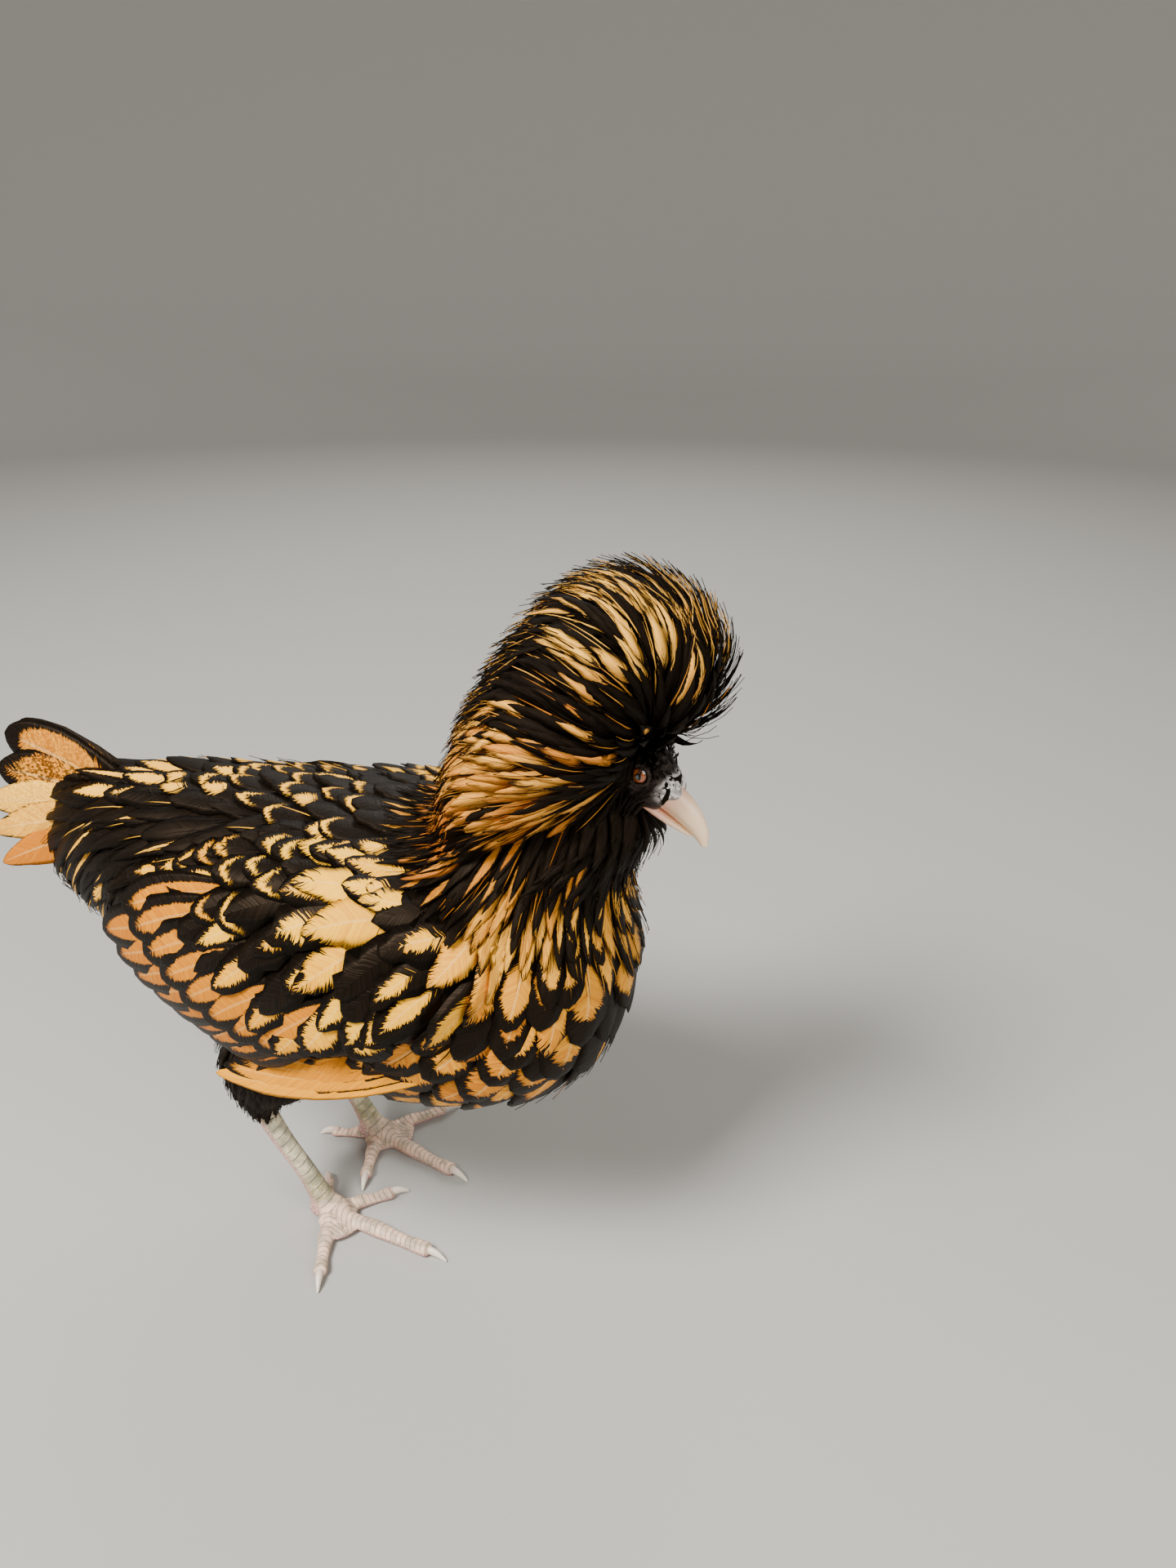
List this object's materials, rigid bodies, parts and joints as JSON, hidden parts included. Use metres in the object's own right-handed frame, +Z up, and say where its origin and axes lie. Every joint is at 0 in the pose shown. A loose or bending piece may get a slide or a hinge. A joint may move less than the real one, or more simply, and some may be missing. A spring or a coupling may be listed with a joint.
{
  "type": "polish crested chicken",
  "caption": "Still, life-size crested hen standing with its bill turned down, full round crest and beard, laced plumage, folded wings and flat soles.",
  "frame": {"origin": "middle of the bird's outline on the floor, under its body", "axes": "+X the way the bird faces, from tail to bill; +Y the bird's left side; +Z up"},
  "size_m": [0.4104, 0.1718, 0.3773],
  "materials": {
    "crest_feathers": "narrow gold feathers with black edges, matt",
    "beard_feathers": "soft black feathers, matt",
    "neck_feathers": "narrow orange and black hackles, soft gloss",
    "body_feathers": "gold feathers laced with black, soft gloss",
    "wing_feathers": "gold coverts and flights laced with black",
    "tail_feathers": "broad gold feathers with black ends",
    "thigh_feathers": "brown black fluff, matt",
    "face_skin": "dark bare skin and short feathers",
    "comb_skin": "grey wrinkled skin",
    "leg_scales": "pale blue grey scutes",
    "toe_skin": "pinkish white scales and pads",
    "beak_horn": "pale horn, smooth satin",
    "claw_horn": "pale horn, smooth satin",
    "eye": "wet glossy orange brown eye"
  },
  "bodies": {
    "root": {"head": "face_skin", "beak_upper": "beak_horn", "beak_lower": "beak_horn", "comb": "comb_skin", "eye_right": "eye", "eye_left": "eye", "crest": "crest_feathers", "beard": "beard_feathers", "neck": "neck_feathers", "trunk": "body_feathers", "tail": "tail_feathers", "wing_right": "wing_feathers", "primaries_right": "wing_feathers", "thigh_right": "thigh_feathers", "shank_right": "leg_scales", "foot_right": "leg_scales", "toe_hallux_right": "toe_skin", "claw_hallux_right": "claw_horn", "toe_inner_right": "toe_skin", "claw_inner_right": "claw_horn", "toe_middle_right": "toe_skin", "claw_middle_right": "claw_horn", "toe_outer_right": "toe_skin", "claw_outer_right": "claw_horn", "wing_left": "wing_feathers", "primaries_left": "wing_feathers", "thigh_left": "thigh_feathers", "shank_left": "leg_scales", "foot_left": "leg_scales", "toe_hallux_left": "toe_skin", "claw_hallux_left": "claw_horn", "toe_inner_left": "toe_skin", "claw_inner_left": "claw_horn", "toe_middle_left": "toe_skin", "claw_middle_left": "claw_horn", "toe_outer_left": "toe_skin", "claw_outer_left": "claw_horn"}
  },
  "joints": []
}
